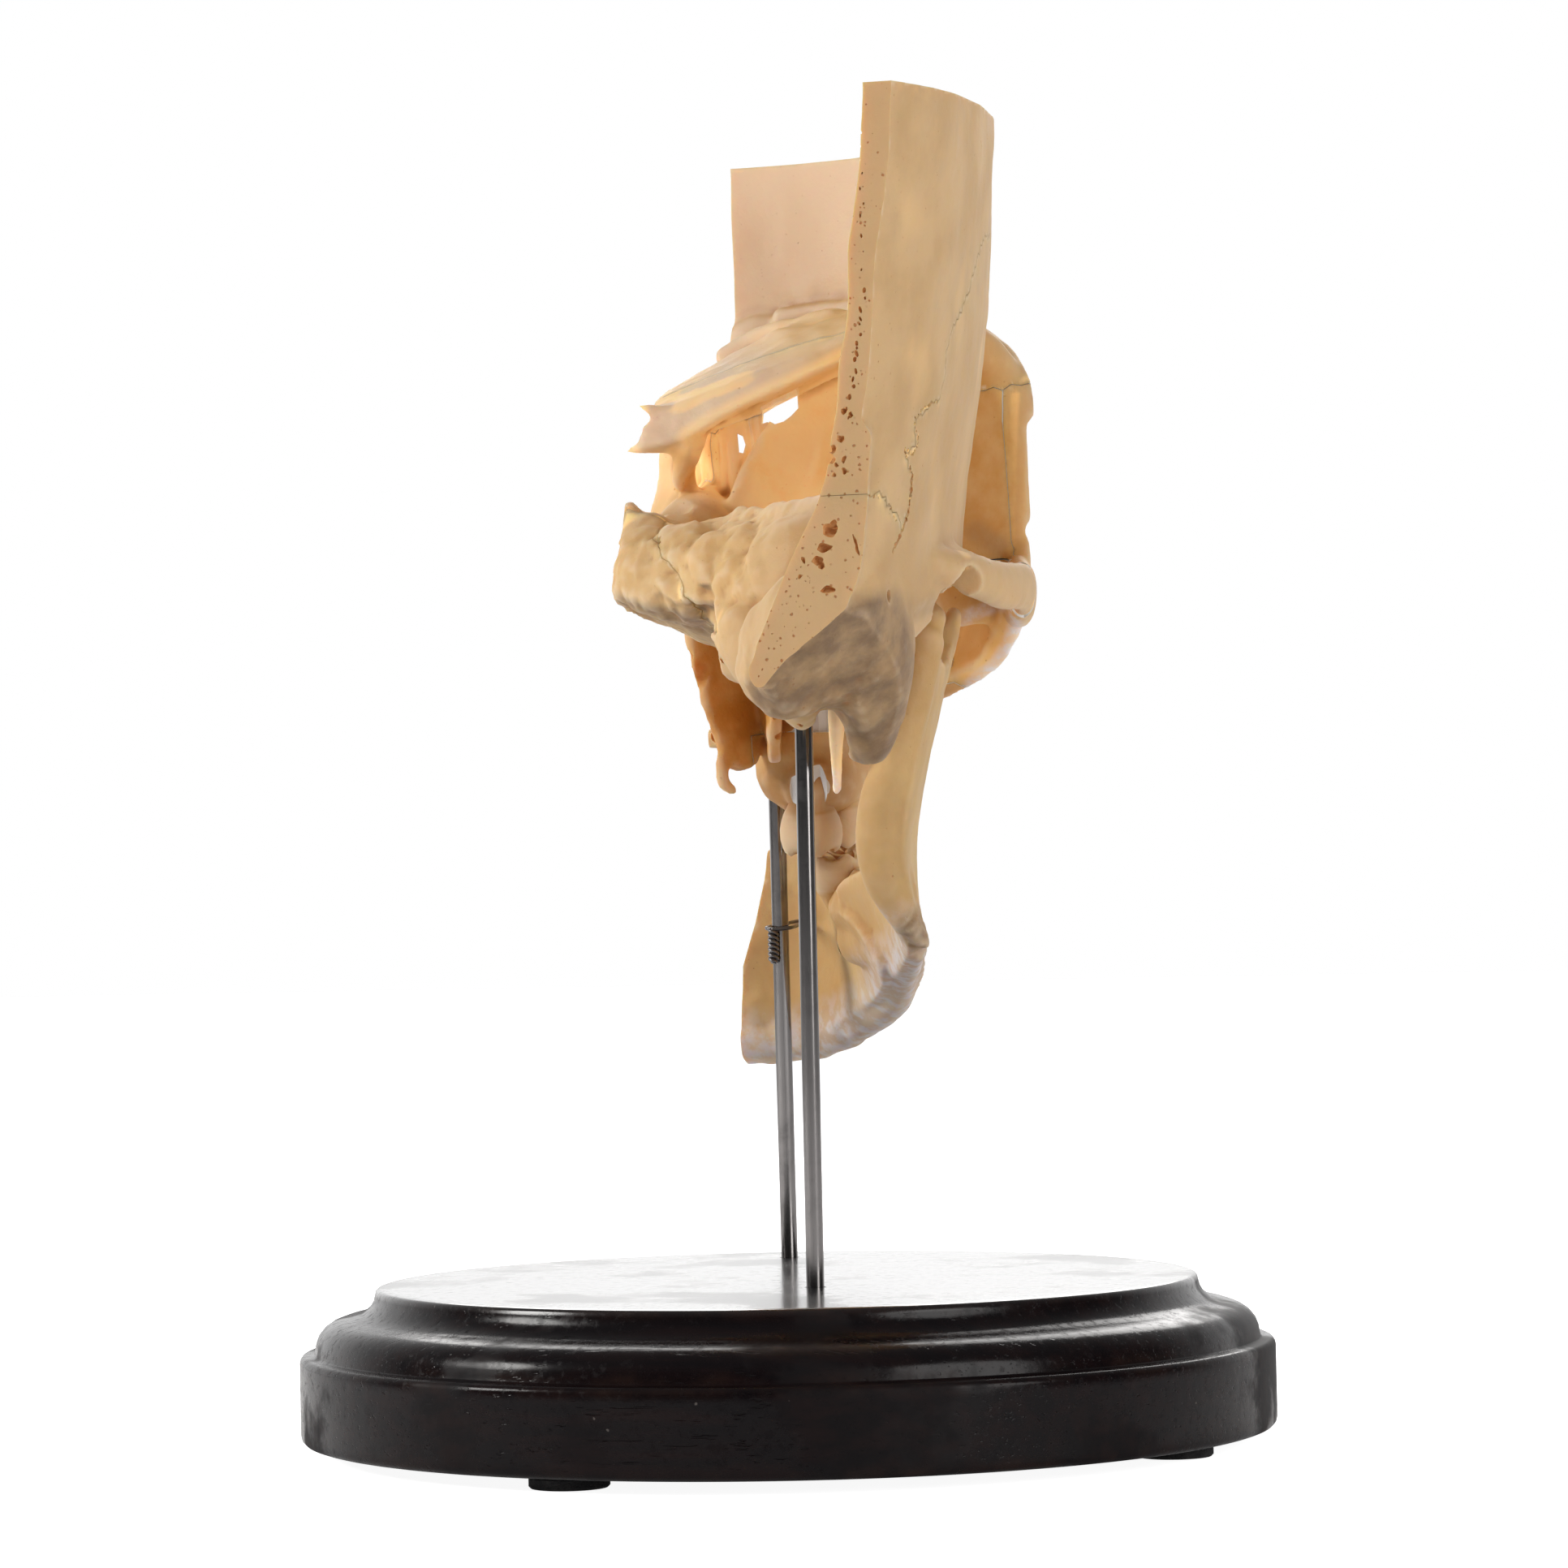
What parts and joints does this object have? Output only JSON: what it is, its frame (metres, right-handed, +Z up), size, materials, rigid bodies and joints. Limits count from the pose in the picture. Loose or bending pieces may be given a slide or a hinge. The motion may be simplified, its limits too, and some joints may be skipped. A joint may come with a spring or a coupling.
{
  "type": "partial human skull on museum stand",
  "caption": "Right half of a human skull and jaw, sawn flat behind the ear, at the crown and near the middle, carried on two steel rods above a turned round wooden base.",
  "frame": {"origin": "on the floor under the centre of the round base", "axes": "+Z up; the skull faces -Y with its right side towards -X; the sawn rear face looks to +Y"},
  "size_m": [0.166, 0.166, 0.2277],
  "materials": {
    "bone": "dry matte bone, cream to tan with fine pores",
    "jaw_bone": "dry bone, honey coloured, with pale enamel teeth",
    "varnished_wood": "very dark brown satin varnish",
    "steel": "bright drawn steel",
    "pad_rubber": "matte black"
  },
  "bodies": {
    "root": {"frontal": "bone", "parietal": "bone", "temporal": "bone", "sphenoid": "bone", "occipital": "bone", "zygomatic": "bone", "maxilla": "bone", "mandible": "jaw_bone", "base": "varnished_wood", "foot_1": "pad_rubber", "foot_2": "pad_rubber", "foot_3": "pad_rubber", "foot_4": "pad_rubber", "rod_front": "steel", "rod_rear": "steel", "wire_tie": "steel"}
  },
  "joints": []
}
